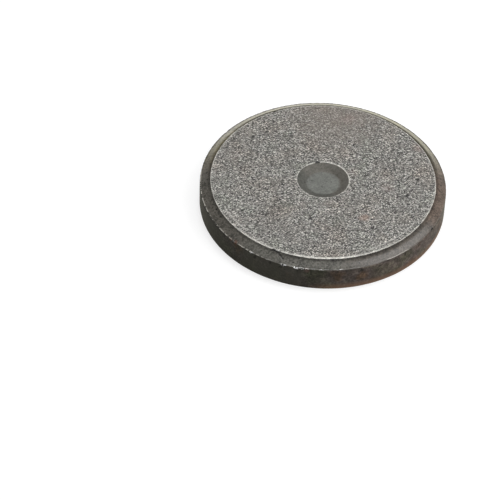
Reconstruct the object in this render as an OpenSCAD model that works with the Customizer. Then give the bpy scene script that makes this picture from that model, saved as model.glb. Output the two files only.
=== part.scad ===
// A round ferrite disc magnet, pressed and sintered in one piece.
// It lies flat: Z = 0 is its plain underside, and +Z is the disc's axis.
// Its top face is ground. The press tool leaves a bevel and a narrow flat land
// round that face, and a shallow dimple in the middle that marks one pole.
// Ferrite is brittle, so its edges lose small shell-shaped flakes.

/* [Disc] */
// Diameter over the straight wall
disc_d = 38.1; // [24:0.1:80]
// Thickness from the underside to the ground face
disc_t = 4.76; // [3:0.01:12]
// Rounding of the edge round the underside
base_round = 0.2; // [0.1:0.05:0.6]

/* [Rim] */
// Width of the bevel, between the ground face and the land
bevel_w = 1.4; // [0.6:0.05:2.5]
// Height of the bevel, from the land up to the ground face
bevel_h = 0.8; // [0.4:0.02:1.6]
// Width of the flat land between the bevel and the wall
land_w = 0.2; // [0.05:0.01:0.4]

/* [Dimple] */
// Diameter of the dimple's mouth, in the ground face
dimple_d = 8.2; // [6.5:0.1:16]
// Diameter where the dimple's cone would meet its floor in a sharp corner
dimple_floor_d = 5.4; // [3:0.1:6]
// Depth of the dimple's floor below the ground face
dimple_depth = 0.8; // [0.3:0.05:1.6]
// Fillet between the dimple's cone and its floor
floor_fillet = 0.6; // [0.1:0.05:0.8]

/* [Hidden] */
$fn = 144;

disc_r = disc_d / 2;
land_z = disc_t - bevel_h;
land_r = disc_r - land_w;
face_r = land_r - bevel_w;
lip_r = dimple_d / 2;
floor_r = dimple_floor_d / 2;
floor_z = disc_t - dimple_depth;

// Slopes of the bevel and of the dimple's cone, in degrees from the flat
bevel_slope = atan2(bevel_h, bevel_w);
dimple_slope = atan2(dimple_depth, lip_r - floor_r);

// Points on the arc of the dimple's fillet, from the cone in to the floor
FILLET_STEPS = 4;
fillet_r = floor_r - floor_fillet * tan(dimple_slope / 2);
fillet_z = floor_z + floor_fillet;
FILLET = [
    for (step = [FILLET_STEPS : -1 : 0])
        let (angle = dimple_slope * step / FILLET_STEPS)
            [fillet_r + floor_fillet * sin(angle), fillet_z - floor_fillet * cos(angle)]
];

// Flakes broken out of each edge: [azimuth in degrees, length along the edge, depth]
RIM_CHIPS = [
    [-133, 1.1, 0.18], [-122, 0.6, 0.1], [-105.5, 1.1, 0.12], [-99.5, 0.9, 0.16],
    [-96.5, 0.6, 0.1], [-92, 2.6, 0.08], [-84.5, 3.2, 0.1], [-76, 3.2, 0.09],
    [-66.5, 3.8, 0.1], [-58.5, 2.2, 0.13], [-27, 0.6, 0.18], [146, 0.8, 0.1]
];
FACE_CHIPS = [[-110, 1, 0.08], [-82, 0.5, 0.07], [-30, 0.6, 0.05], [119, 0.7, 0.07]];
LIP_CHIPS = [[105, 0.7, 0.07]];

// Which way the hollows face, in degrees up from straight out: each halves its corner
RIM_LEAN = 45;
FACE_LEAN = 90 - bevel_slope / 2;
LIP_LEAN = 90 + dimple_slope / 2;

module half_section() {
    difference() {
        polygon(concat(
            [[0, 0], [disc_r, 0], [disc_r, land_z], [land_r, land_z], [face_r, disc_t], [lip_r, disc_t]],
            FILLET,
            [[0, floor_z]]
        ));
        translate([disc_r - base_round, 0]) underside_corner();
    }
}

// What rounding the lower corner takes away
module underside_corner() {
    difference() {
        square(base_round);
        translate([0, base_round]) circle(r = base_round);
    }
}

// Ball-shaped hollows along one edge of the disc, leaning the way that flakes break out
module chips(list, edge_r, edge_z, lean) {
    for (chip = list) {
        half_length = chip.y / 2;
        depth = chip.z;
        ball_r = (half_length * half_length + depth * depth) / (2 * depth);
        out = ball_r - depth;
        rotate([0, 0, chip.x]) {
            translate([edge_r + out * cos(lean), 0, edge_z + out * sin(lean)]) sphere(r = ball_r);
        }
    }
}

module magnet() {
    color([0.36, 0.35, 0.33]) difference() {
        rotate_extrude() half_section();
        chips(RIM_CHIPS, disc_r, land_z, RIM_LEAN);
        chips(FACE_CHIPS, face_r, disc_t, FACE_LEAN);
        chips(LIP_CHIPS, lip_r, disc_t, LIP_LEAN);
    }
}

magnet();
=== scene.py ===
# %% [markdown]
# # A ferrite disc magnet
# The real magnet is one piece. Black ferrite powder is pressed in a die, fired in a kiln
# until it sinters into a hard, brittle ceramic, and then its faces are ground flat.
# So it has three finishes: a grainy ground face, a smooth, satin, as-fired skin on the
# bevel and in the dimple, and a darker wall that slid along the die. This lesson builds that
# skin around a finished CAD model. The model comes in first, as a fixed frame that nothing
# below may move.

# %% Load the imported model
import math

import bpy
import numpy as np
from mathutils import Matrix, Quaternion, Vector


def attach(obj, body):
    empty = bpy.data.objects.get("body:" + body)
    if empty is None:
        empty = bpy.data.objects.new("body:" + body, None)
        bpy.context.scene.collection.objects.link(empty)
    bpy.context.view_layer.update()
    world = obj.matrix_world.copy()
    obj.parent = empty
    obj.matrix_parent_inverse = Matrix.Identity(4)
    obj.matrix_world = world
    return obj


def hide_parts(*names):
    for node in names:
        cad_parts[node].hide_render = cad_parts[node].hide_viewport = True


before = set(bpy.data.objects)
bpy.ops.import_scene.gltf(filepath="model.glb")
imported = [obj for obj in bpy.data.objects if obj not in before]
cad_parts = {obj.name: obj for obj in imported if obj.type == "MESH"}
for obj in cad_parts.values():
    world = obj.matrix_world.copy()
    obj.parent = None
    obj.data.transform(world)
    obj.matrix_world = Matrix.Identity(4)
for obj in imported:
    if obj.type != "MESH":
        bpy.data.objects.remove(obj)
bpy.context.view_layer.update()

# %% [markdown]
# ## Sizes
# Every size that the CAD mesh shows is measured on it, so the looks follow the model if it
# changes. A revolved shape is easy to measure: turn each vertex into a radius and a height,
# and each flat or corner of the section shows as a group of equal values.

# %% Radii and heights
MM = 0.001
NEAR = 0.002 * MM

corners = np.array([vertex.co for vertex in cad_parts["magnet"].data.vertices])
radii = np.hypot(corners[:, 0], corners[:, 1])
heights = corners[:, 2]
disc_radius = radii.max()
thickness = heights.max()


def radii_at(height):
    """The radii of all corners at that height."""
    return radii[abs(heights - height) < NEAR]


print(f"disc {disc_radius * 2 / MM:.2f} x {thickness / MM:.2f} mm, from {len(corners)} corners")

# %% [markdown]
# ## The corners of the section
# From the middle out, the top has a dimple, a wide ground flat, a sloping bevel, and a narrow
# level ring at the rim, called the land. Each size is the inner or outer end of one group of
# corners. A rounding hides the foot of the dimple's cone, so the corner's radius and its
# fillet are named here instead, in millimetres, as a machinist would read them.

# %% Measure the section
face_radius = radii_at(thickness).max()
lip_radius = radii_at(thickness).min()
land_height = heights[abs(radii - disc_radius) < NEAR].max()
land_rings = radii_at(land_height)
land_radius = land_rings[land_rings > face_radius].min()
floor_height = heights[(radii < lip_radius) & (heights > thickness / 2)].min()
base_round = disc_radius - radii_at(0).max()

dimple_corner = 2.7 * MM
floor_fillet = 0.6 * MM

print(f"ground face {face_radius * 2 / MM:.2f} mm wide")
print(f"land from {land_radius / MM:.2f} mm at height {land_height / MM:.2f} mm")
print(f"dimple {lip_radius * 2 / MM:.2f} mm wide, floor at {floor_height / MM:.2f} mm")

# %% [markdown]
# ## One helper for nodes, one for colour
# Both the shape and the finishes are node trees. A tree is easier to read in a script if a
# node, its settings and its links stand on one line, so one small function makes them.
# Colours are written as a colour picker shows them, in sRGB hex, and Blender wants them linear.

# %% Helpers
def linear(hex_colour):
    """An sRGB hex colour, such as "#8a8782", as linear RGBA."""
    values = [int(hex_colour[i:i + 2], 16) / 255 for i in (1, 3, 5)]
    return [v / 12.92 if v <= 0.04045 else ((v + 0.055) / 1.055) ** 2.4 for v in values] + [1]


def add(tree, kind, inputs=(), out=0, choices=2, stops=(), **settings):
    """Adds a node, fills or links its inputs, and returns one of its outputs.

    choices is how many values an Index Switch offers. stops are a Color Ramp's
    (position, hex colour) pairs, each strictly between 0 and 1."""
    made = tree.nodes.new(kind)
    for name, value in settings.items():
        setattr(made, name, value)
    for _ in range(2, choices):
        made.index_switch_items.new()
    for position, hex_colour in stops:
        made.color_ramp.elements.new(position).color = linear(hex_colour)
    if stops:
        made.color_ramp.elements.remove(made.color_ramp.elements[0])
        made.color_ramp.elements.remove(made.color_ramp.elements[-1])
    for socket, value in dict(inputs).items():
        if isinstance(value, bpy.types.NodeSocket):
            tree.links.new(value, made.inputs[socket])
        else:
            made.inputs[socket].default_value = value
    return made.outputs[out]


print("mid grey #808080 is linear", round(linear("#808080")[0], 3))

# %% [markdown]
# ## Flakes
# Fired ferrite chips like glass. A flake leaves a shell-shaped hollow, which is close to a
# piece of a ball. Flakes could be sculpted by hand, but a list of plain numbers is easier to
# read and to change: where each one is, how long it is along the edge, and how deep. These
# are the flakes of the CAD model. The last number is a tone: 1 for a fresh fracture, whose
# facets get painted glints, -1 for a deep hollow that looks black.

# %% The model's flakes
# [azimuth in degrees, length along the edge, depth, tone], with lengths in mm
RIM_CHIPS = [
    [-133, 1.1, 0.18, 0.1], [-122, 0.6, 0.1, 0.8], [-105.5, 1.1, 0.12, 0.7], [-99.5, 0.9, 0.16, 1],
    [-96.5, 0.6, 0.1, 0.5], [-92, 2.6, 0.08, 0], [-84.5, 3.2, 0.1, 0], [-76, 3.2, 0.09, 0],
    [-66.5, 3.8, 0.1, 0], [-58.5, 2.2, 0.13, -0.3], [-27, 0.6, 0.18, -1], [146, 0.8, 0.1, 0.5],
]
FACE_CHIPS = [[-110, 1, 0.08, -0.5], [-82, 0.5, 0.07, -0.3], [-30, 0.6, 0.05, -0.6], [119, 0.7, 0.07, -0.8]]
LIP_CHIPS = [[105, 0.7, 0.07, -0.8]]
print("flakes on the rim, the face's edge and the lip:", len(RIM_CHIPS), len(FACE_CHIPS), len(LIP_CHIPS))

# %% [markdown]
# ## Pits and a nick
# A pit opens where a few grains fell out together. These are too small for the CAD model, so
# they are here only, in lists of the same kind. A nick is a short cut with a curve in it. It
# needs no tool of its own: a row of small pits, so close that they join, gives it.

# %% Pits and a nick
# in the ground face: [azimuth, distance from the middle, width, depth]
FACE_PITS = [
    [5, 14.6, 0.5, 0.07], [-11, 13.2, 0.45, 0.06], [-52, 12.8, 0.55, 0.08],
    [142, 14.5, 0.5, 0.06], [138, 14.0, 0.35, 0.05], [-165, 6.4, 0.35, 0.05],
    [62, 9.5, 0.35, 0.05], [-100, 9.0, 0.4, 0.05], [-138, 12.0, 0.4, 0.05], [105, 4.12, 0.42, 0.1],
]
# in the wall, just under the rim: [azimuth, height above the underside, width, depth]
WALL_PITS = [
    [-139, 3.5, 0.4, 0.06], [-129, 3.4, 0.5, 0.07], [-120, 3.4, 0.5, 0.08], [-112, 3.5, 0.4, 0.06],
    [-107, 3.3, 0.5, 0.07], [-99, 3.35, 0.4, 0.07], [-93, 3.1, 0.4, 0.05], [-89, 2.7, 0.4, 0.05],
    [-70, 3.4, 0.5, 0.07], [-61, 3.4, 0.4, 0.06], [-47, 3.5, 0.45, 0.06], [-38, 3.4, 0.4, 0.06],
]
# in the bevel: [azimuth, share of the way down the bevel, width, depth]
BEVEL_PITS = [[-82.8, 0.12, 0.4, 0.08], [-75.5, 0.12, 0.3, 0.05], [-113.5, 0.1, 0.35, 0.05]]
# the nick runs down the bevel from the face's edge: its ends in azimuth, its width, its depth
NICK = [-113, -107, 0.36, 0.1]
NICK_BALLS = 9
# share of the way down the bevel where the nick ends
NICK_END = 0.55
FACE_TONE, WALL_TONE, BEVEL_TONE = -1, -0.7, -0.9
print(len(FACE_PITS + WALL_PITS + BEVEL_PITS), "pits, and a nick of", NICK_BALLS, "more")

# %% [markdown]
# ## A ball for each hollow
# The ball's size follows from the hollow's length and depth: a long, shallow hollow needs a
# large ball. The ball stands off the surface, towards where the surface faces, so that it
# dips in by just the depth.

# %% A ball
def ball(edge_radius, edge_height, lean, azimuth, length, depth, tone):
    """Centre, radius and tone of the ball that cuts a hollow of that length and depth.

    lean is where the surface faces in the section: 0 is outwards and a quarter turn is up."""
    half, deep = length * MM / 2, depth * MM
    radius = (half * half + deep * deep) / (2 * deep)
    away = edge_radius + (radius - deep) * math.cos(lean)
    angle = math.radians(azimuth)
    up = edge_height + (radius - deep) * math.sin(lean)
    centre = (away * math.cos(angle), away * math.sin(angle), up)
    return centre, radius, tone


OUT, UP = 0.0, math.pi / 2
RIM_LEAN = (OUT + UP) / 2
first_ball = ball(disc_radius, land_height, RIM_LEAN, *RIM_CHIPS[0])
print("the first flake needs a ball of radius", round(first_ball[1] / MM, 2), "mm")

# %% [markdown]
# ## Placing the balls
# On an edge, a ball leans half-way between the two faces that meet there. On a face, it
# stands straight over it. Down the nick the balls first follow the face's edge and then turn
# down the bevel, which bends the nick.

# %% Place the balls
bevel_slope = math.atan2(thickness - land_height, land_radius - face_radius)
dimple_slope = math.atan2(thickness - floor_height, lip_radius - dimple_corner)
balls = [ball(disc_radius, land_height, RIM_LEAN, *chip) for chip in RIM_CHIPS]
balls += [ball(face_radius, thickness, UP - bevel_slope / 2, *chip) for chip in FACE_CHIPS]
balls += [ball(lip_radius, thickness, UP + dimple_slope / 2, *chip) for chip in LIP_CHIPS]
balls += [ball(away * MM, thickness, UP, azimuth, width, depth, FACE_TONE)
          for azimuth, away, width, depth in FACE_PITS]
balls += [ball(disc_radius, height * MM, OUT, azimuth, width, depth, WALL_TONE)
          for azimuth, height, width, depth in WALL_PITS]

start, end, width, depth = NICK
nick_way = [[start + share * (end - start), NICK_END * share ** 2, width, depth]
            for share in np.linspace(0, 1, NICK_BALLS)]
for azimuth, down, width, depth in BEVEL_PITS + nick_way:
    away = face_radius + down * (land_radius - face_radius)
    height = thickness - down * (thickness - land_height)
    balls.append(ball(away, height, UP - bevel_slope, azimuth, width, depth, BEVEL_TONE))
print(len(balls), "balls, on a bevel of", round(math.degrees(bevel_slope), 1), "degrees")

# %% [markdown]
# ## Handing the balls to a node tree
# A tree can't read a Python list, but it can read a mesh. So each ball becomes one loose
# point at its centre, and its radius and tone travel with the point as attributes. The
# tree will run as a modifier on this mesh, and turn it into the magnet's skin.

# %% Balls as points
hollows = bpy.data.meshes.new("hollows")
hollows.from_pydata([centre for centre, radius, tone in balls], [], [])
for name, column in (("ball_radius", 1), ("ball_tone", 2)):
    attribute = hollows.attributes.new(name, "FLOAT", "POINT")
    attribute.data.foreach_set("value", [one[column] for one in balls])
magnet = bpy.data.objects.new("magnet_skin", hollows)
bpy.context.scene.collection.objects.link(magnet)
largest = max(radius for centre, radius, tone in balls)
print(len(hollows.vertices), "points, the largest ball", round(largest / MM, 1), "mm in radius")

# %% [markdown]
# ## The sizes that shape the skin
# Each form on the disc has a size here, under the name it will have in the node tree. The
# large ones were measured on the CAD model. The others are too fine for it, and are set here:
# small roundings, the step under the face, the grain, the crumbled edges and the rubbed side.

# %% Sizes of the skin
# the real dimple's mouth is smaller than the model's by this much all round
LIP_INSET = 0.1 * MM
SIZES = {
    "Disc Radius": disc_radius,
    "Thickness": thickness,
    "Base Round": base_round,
    "Land Height": land_height,
    "Land Radius": land_radius,
    "Land Fillet": 0.08 * MM,
    "Rim Round": 0.07 * MM,
    "Face Radius": face_radius,
    "Face Round": 0.1 * MM,
    "Face Step": 0.07 * MM,
    "Bevel Hollow": 0.01 * MM,
    "Lip Radius": lip_radius - LIP_INSET,
    "Lip Round": 0.12 * MM,
    "Dimple Corner": dimple_corner,
    "Floor Height": floor_height,
    "Floor Fillet": floor_fillet,
    "Ring Spacing": 0.185 * MM,
    "Grain Width": 0.4 * MM,
    "Grain Depth": 0.012 * MM,
    "Skin Wave Width": 1.6 * MM,
    "Skin Wave Depth": 0.012 * MM,
    "Crumble Width": 0.4 * MM,
    "Crumble Depth": 0.05 * MM,
    "Crumble Reach": 0.25 * MM,
    "Rubbed Depth": 0.04 * MM,
    "Rubbed Reach": 0.45 * MM,
}
smallest, largest = min(SIZES.values()), max(SIZES.values())
print(len(SIZES), "sizes, from", round(smallest / MM, 3), "to", round(largest / MM, 2), "mm")

# %% [markdown]
# ## The tree's inputs
# The disc's shape follows a rule: one section, turned round an axis. That suits Geometry
# Nodes, because the rule then stays readable and every size is an input with a name. The
# inputs come first. Every size is in metres, as everything in Blender is here, and each
# input's identifier is kept, because it is needed when the sizes are filled in.

# %% Named inputs
tree = bpy.data.node_groups.new("turn_the_disc", "GeometryNodeTree")
tree.interface.new_socket("Hollows", in_out="INPUT", socket_type="NodeSocketGeometry")
tree.interface.new_socket("Skin", in_out="OUTPUT", socket_type="NodeSocketGeometry")

FINISHES = ("Ground Finish", "Fired Finish", "Wall Finish")
identifiers = {}
for name in SIZES:
    socket = tree.interface.new_socket(name, in_out="INPUT", socket_type="NodeSocketFloat")
    identifiers[name] = socket.identifier
for name in FINISHES:
    socket = tree.interface.new_socket(name, in_out="INPUT", socket_type="NodeSocketMaterial")
    identifiers[name] = socket.identifier

given = tree.nodes.new("NodeGroupInput").outputs
print(len(identifiers), "named inputs")

# %% [markdown]
# ## The section, as two curves
# A lathe hand thinks of a turned part as a section. Here it is a row of corner points, a
# Fillet node that rounds each corner by its own radius, and a Subdivide node that puts a
# point on every stretch as often as the ring spacing asks. Each point becomes one ring of the
# disc. The section is cut in two at the end of the ground flat, because the face inside and
# the rim outside get different grids.

# %% A section curve
# points on each rounded corner
ARC_POINTS = 4


def section(stations, most_cuts):
    """A rounded, finely divided curve through (radius, height, rounding) corners, in XZ."""
    places = {i + 1: add(tree, "ShaderNodeCombineXYZ", {"X": radius, "Z": height})
              for i, (radius, height, rounding) in enumerate(stations)}
    rounds = {i + 1: rounding for i, (radius, height, rounding) in enumerate(stations)}
    index = add(tree, "GeometryNodeInputIndex")
    place = add(tree, "GeometryNodeIndexSwitch", {"Index": index, **places}, choices=len(stations),
                data_type="VECTOR")
    rounding = add(tree, "GeometryNodeIndexSwitch", {"Index": index, **rounds}, choices=len(stations),
                   data_type="FLOAT")
    points = add(tree, "GeometryNodePoints", {"Count": len(stations), "Position": place})
    line = add(tree, "GeometryNodePointsToCurves", {"Points": points})
    rounded = add(tree, "GeometryNodeFilletCurve",
                  {"Curve": line, "Count": ARC_POINTS, "Radius": rounding}, mode="POLY")
    here = add(tree, "GeometryNodeInputPosition")
    after = add(tree, "ShaderNodeMath", {0: index, 1: 1.0}, operation="ADD")
    there = add(tree, "GeometryNodeFieldAtIndex", {"Value": here, "Index": after},
                data_type="FLOAT_VECTOR")
    stretch = add(tree, "ShaderNodeVectorMath", {0: here, 1: there}, out="Value", operation="DISTANCE")
    cuts = add(tree, "ShaderNodeMath", {0: stretch, 1: given["Ring Spacing"]}, operation="DIVIDE")
    cuts = add(tree, "ShaderNodeMath", {0: cuts, 1: float(most_cuts)}, operation="MINIMUM")
    return add(tree, "GeometryNodeSubdivideCurve", {"Curve": rounded, "Cuts": cuts})


print("each rounded corner gets", ARC_POINTS, "points")

# %% [markdown]
# ## The face's section
# From the middle out, the face is the dimple's flat floor, its cone, the lip and the ground
# flat. The corner between floor and cone is well rounded, because powder won't leave a sharp
# one when the punch pulls back. The lip is nearly sharp, because the wheel cut across it.
# Corner points with a rounding each say all that in four lines.

# %% Face section
# more cuts than any stretch needs, so that here the ring spacing alone decides
FACE_CUTS = 200
flat_end = add(tree, "ShaderNodeMath", {0: given["Face Radius"], 1: given["Face Round"]},
               operation="SUBTRACT")
face_section = section([
    (0.0, given["Floor Height"], 0.0),
    (given["Dimple Corner"], given["Floor Height"], given["Floor Fillet"]),
    (given["Lip Radius"], given["Thickness"], given["Lip Round"]),
    (flat_end, given["Thickness"], 0.0),
], most_cuts=FACE_CUTS)
print("about", round(face_radius / SIZES["Ring Spacing"]), "rings from the middle to the bevel")

# %% [markdown]
# ## Two corners of the rim that the model doesn't have
# Two forms here are too fine for the CAD model. The ground face ends in a tiny step, because
# the wheel cuts it and leaves the bevel alone. The shade of that step, a thin dark line that
# sets the face off, is painted on in the as-fired finish. The bevel is also a hair hollow, as a
# punch that was polished by hand makes it, and so its shine changes slowly on the way down.
# Both are worked out in the tree, so that they follow its inputs.

# %% Step and hollow
step_foot = add(tree, "ShaderNodeMath", {0: given["Thickness"], 1: given["Face Step"]},
                operation="SUBTRACT")
step_out = add(tree, "ShaderNodeMath", {0: given["Face Step"], 1: 0.5, 2: given["Face Radius"]},
               operation="MULTIPLY_ADD")
middle_out = add(tree, "ShaderNodeMath", {0: step_out, 1: given["Land Radius"]}, operation="ADD")
middle_out = add(tree, "ShaderNodeMath", {0: middle_out, 1: 0.5}, operation="MULTIPLY")
middle_up = add(tree, "ShaderNodeMath", {0: step_foot, 1: given["Land Height"]}, operation="ADD")
middle_up = add(tree, "ShaderNodeMath", {0: middle_up, 1: 0.5}, operation="MULTIPLY")
middle_up = add(tree, "ShaderNodeMath", {0: middle_up, 1: given["Bevel Hollow"]}, operation="SUBTRACT")
print("a step of", round(SIZES["Face Step"] / MM, 3), "mm ends the face, and the bevel is hollow by",
      round(SIZES["Bevel Hollow"] / MM, 3), "mm")

# %% [markdown]
# ## The rim's own section
# From the face's edge on, the section goes over the step, down the hollow bevel, across the
# land, down the wall and in to the middle of the underside. The underside lies on the table
# and needs few rings, so the cuts have a limit here.

# %% Rim section
HOLLOW_ROUND = 2 * MM
STEP_ROUND = 0.03 * MM
RIM_CUTS = 12
rim_section = section([
    (flat_end, given["Thickness"], 0.0),
    (given["Face Radius"], given["Thickness"], given["Face Round"]),
    (step_out, step_foot, STEP_ROUND),
    (middle_out, middle_up, HOLLOW_ROUND),
    (given["Land Radius"], given["Land Height"], given["Land Fillet"]),
    (given["Disc Radius"], given["Land Height"], given["Rim Round"]),
    (given["Disc Radius"], 0.0, given["Base Round"]),
    (0.0, 0.0, 0.0),
], most_cuts=RIM_CUTS)
print("no stretch of the rim's section gets more than", RIM_CUTS, "cuts")

# %% [markdown]
# ## Wrapping a grid round the axis
# A Curve to Mesh node or a Screw modifier could turn the section, but both crowd their faces
# at the axis. Here a flat grid is made first, and then each of its points moves to its own
# ring's place on the section, turned by its own angle. Any grid can be wrapped that way.

# %% Wrap
def wrap(grid, curve, ring, turn):
    """Moves each grid point to its ring's place on the section, turned about the axis."""
    ring = add(tree, "ShaderNodeMath", {0: ring}, operation="ROUND")
    here = add(tree, "GeometryNodeInputPosition")
    on_section = add(tree, "GeometryNodeSampleIndex", {"Geometry": curve, "Value": here, "Index": ring},
                     data_type="FLOAT_VECTOR")
    place = add(tree, "ShaderNodeVectorRotate", {"Vector": on_section, "Angle": turn},
                rotation_type="Z_AXIS")
    return add(tree, "GeometryNodeSetPosition", {"Geometry": grid, "Position": place})


print(len(tree.nodes), "nodes so far")

# %% [markdown]
# ## The face: a square pressed into a circle
# The grain must look the same in the middle and at the edge, so the cells have to stay about
# one size. A square grid does that: the square at distance k from the middle becomes
# ring k, with 8 k points evenly round it. So the grid needs as many squares, one inside
# the other, as the face's section has points.

# %% Square grid
face_rings = add(tree, "GeometryNodeAttributeDomainSize", {"Geometry": face_section}, component="CURVE")
rings = add(tree, "ShaderNodeMath", {0: face_rings, 1: 1.0}, operation="SUBTRACT")
width = add(tree, "ShaderNodeMath", {0: rings, 1: 2.0}, operation="MULTIPLY")
side = add(tree, "ShaderNodeMath", {0: width, 1: 1.0}, operation="ADD")
square = add(tree, "GeometryNodeMeshGrid",
             {"Size X": width, "Size Y": width, "Vertices X": side, "Vertices Y": side})
print(len(tree.nodes), "nodes with the square")

# %% [markdown]
# ## From the square to the circle
# Each point needs its ring and its angle. Four formulas, one for each side of the square,
# would do it. One is enough if every quarter is first turned to the east side: there the ring
# number is simply x, and y over x gives the angle. The quarter's own turn is then added back.

# %% Ring and angle
QUARTER = math.pi / 2

spot = add(tree, "GeometryNodeInputPosition")
spot_x = add(tree, "ShaderNodeSeparateXYZ", {0: spot})
spot_y = spot_x.node.outputs["Y"]
bearing = add(tree, "ShaderNodeMath", {0: spot_y, 1: spot_x}, operation="ARCTAN2")
quarters = add(tree, "ShaderNodeMath", {0: bearing, 1: QUARTER}, operation="DIVIDE")
quarters = add(tree, "ShaderNodeMath", {0: quarters}, operation="ROUND")
heading = add(tree, "ShaderNodeMath", {0: quarters, 1: QUARTER}, operation="MULTIPLY")
to_east = add(tree, "ShaderNodeMath", {0: heading, 1: -1.0}, operation="MULTIPLY")
east = add(tree, "ShaderNodeVectorRotate", {"Vector": spot, "Angle": to_east}, rotation_type="Z_AXIS")
east_x = add(tree, "ShaderNodeSeparateXYZ", {0: east})
slant = add(tree, "ShaderNodeMath", {0: east_x.node.outputs["Y"], 1: east_x}, operation="DIVIDE")
turn = add(tree, "ShaderNodeMath", {0: slant, 1: QUARTER / 2, 2: heading}, operation="MULTIPLY_ADD")
face_part = wrap(square, face_section, east_x, turn)
print(len(tree.nodes), "nodes with the face")

# %% [markdown]
# ## The rim: a strip with matching columns
# Bevel, land, wall and base run round the disc without a change, so a plain strip does for
# them. It gets as many columns as the face's last ring has points, so that the two grids
# meet point to point. The strip's length turns round the axis, and its height runs down the
# section.

# %% Rim strip
# ring k of the face has 8 k points
RING_STEP = 8.0
columns = add(tree, "ShaderNodeMath", {0: rings, 1: RING_STEP}, operation="MULTIPLY")
column_ends = add(tree, "ShaderNodeMath", {0: columns, 1: 1.0}, operation="ADD")
rim_rings = add(tree, "GeometryNodeAttributeDomainSize", {"Geometry": rim_section}, component="CURVE")
strip_height = add(tree, "ShaderNodeMath", {0: rim_rings, 1: 1.0}, operation="SUBTRACT")
strip = add(tree, "GeometryNodeMeshGrid",
            {"Size X": columns, "Size Y": strip_height, "Vertices X": column_ends,
             "Vertices Y": rim_rings})
share = add(tree, "ShaderNodeMath", {0: spot_x, 1: columns}, operation="DIVIDE")
strip_turn = add(tree, "ShaderNodeMath", {0: share, 1: -2 * math.pi}, operation="MULTIPLY")
strip_ring = add(tree, "ShaderNodeMath", {0: strip_height, 1: 0.5, 2: spot_y}, operation="MULTIPLY_ADD")
rim_part = wrap(strip, rim_section, strip_ring, strip_turn)
print(len(tree.nodes), "nodes with the rim")

# %% [markdown]
# ## One closed skin
# Joined, the two parts are still two sheets that only touch. A merge welds the points that
# share a place. It also closes the strip's own seam, and draws the strip's last row together
# into one point in the middle of the underside.

# %% Weld
# points closer than this are one point
WELD = 0.001 * MM
both = tree.nodes.new("GeometryNodeJoinGeometry")
tree.links.new(face_part, both.inputs[0])
tree.links.new(rim_part, both.inputs[0])
smooth_disc = add(tree, "GeometryNodeMergeByDistance", {"Geometry": both.outputs[0], "Distance": WELD})
print("points within", round(WELD / MM, 4), "mm are welded")

# %% [markdown]
# ## Marking the finishes
# The wheel that ground the magnet touched only its two flat faces, and the die touched only
# the wall. These faces are marked now, while the skin is still perfectly true, so that the
# grain that comes next can't blur the line between the finishes. A height or a radius tells
# which face is which.

# %% Find the finishes
height_here = add(tree, "ShaderNodeSeparateXYZ", {0: spot}, out="Z")
flat_spot = add(tree, "ShaderNodeVectorMath", {0: spot, 1: (1.0, 1.0, 0.0)}, operation="MULTIPLY")
radius_here = add(tree, "ShaderNodeVectorMath", {0: flat_spot}, out="Value", operation="LENGTH")
near_top = add(tree, "FunctionNodeCompare", {"A": height_here, "B": given["Thickness"], "Epsilon": WELD},
               data_type="FLOAT", operation="EQUAL")
near_base = add(tree, "FunctionNodeCompare", {"A": height_here, "B": 0.0, "Epsilon": WELD},
                data_type="FLOAT", operation="EQUAL")
is_ground = add(tree, "FunctionNodeBooleanMath", {0: near_top, 1: near_base}, operation="OR")
under_land = add(tree, "FunctionNodeCompare", {"A": height_here, "B": given["Land Height"]},
                 data_type="FLOAT", operation="LESS_THAN")
past_land = add(tree, "FunctionNodeCompare", {"A": radius_here, "B": given["Land Radius"]},
                data_type="FLOAT", operation="GREATER_THAN")
is_wall = add(tree, "FunctionNodeBooleanMath", {0: under_land, 1: past_land}, operation="AND")
print("everything that is neither ground nor wall keeps the fired skin")

# %% [markdown]
# ## Storing the marks
# The mesh carries the marks as named attributes. Vertex groups could hold the plain ones,
# but an attribute can also sit on faces or hold a direction. The two face marks choose the
# finish. The point marks say where the relief is ground grain, how bare or dirty a hollow is
# (its tone, 0 for none yet), and which way is out while the skin is still true.

# %% Store the marks
marked = add(tree, "GeometryNodeStoreNamedAttribute",
             {"Geometry": smooth_disc, "Name": "ground_face", "Value": is_ground},
             data_type="BOOLEAN", domain="FACE")
marked = add(tree, "GeometryNodeStoreNamedAttribute",
             {"Geometry": marked, "Name": "wall_face", "Value": is_wall},
             data_type="BOOLEAN", domain="FACE")
marked = add(tree, "GeometryNodeStoreNamedAttribute",
             {"Geometry": marked, "Name": "ground", "Value": is_ground},
             data_type="FLOAT", domain="POINT")
marked = add(tree, "GeometryNodeStoreNamedAttribute",
             {"Geometry": marked, "Name": "tone", "Value": 0.0},
             data_type="FLOAT", domain="POINT")
true_normal = add(tree, "GeometryNodeInputNormal")
marked = add(tree, "GeometryNodeStoreNamedAttribute",
             {"Geometry": marked, "Name": "outwards", "Value": true_normal},
             data_type="FLOAT_VECTOR", domain="POINT")
print("5 named attributes on the skin")

# %% [markdown]
# ## Pressing in the hollows
# A Repeat zone takes the balls one by one. A point of the skin that lies inside a ball is
# pushed straight out of it, onto its surface. That leaves the ball's shape in the skin and
# keeps the mesh closed, which a boolean cut on so fine a mesh might not. A little noise in
# the ball's radius breaks the outline, and the pushed points take the ball's tone, which the
# finishes read.

# %% Open the zone
zone_in = tree.nodes.new("GeometryNodeRepeatInput")
zone_out = tree.nodes.new("GeometryNodeRepeatOutput")
zone_in.pair_with_output(zone_out)
ball_count = add(tree, "GeometryNodeAttributeDomainSize", {"Geometry": given["Hollows"]}, component="MESH")
tree.links.new(ball_count, zone_in.inputs["Iterations"])
tree.links.new(marked, zone_in.inputs["Geometry"])
turn_number = zone_in.outputs["Iteration"]

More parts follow.
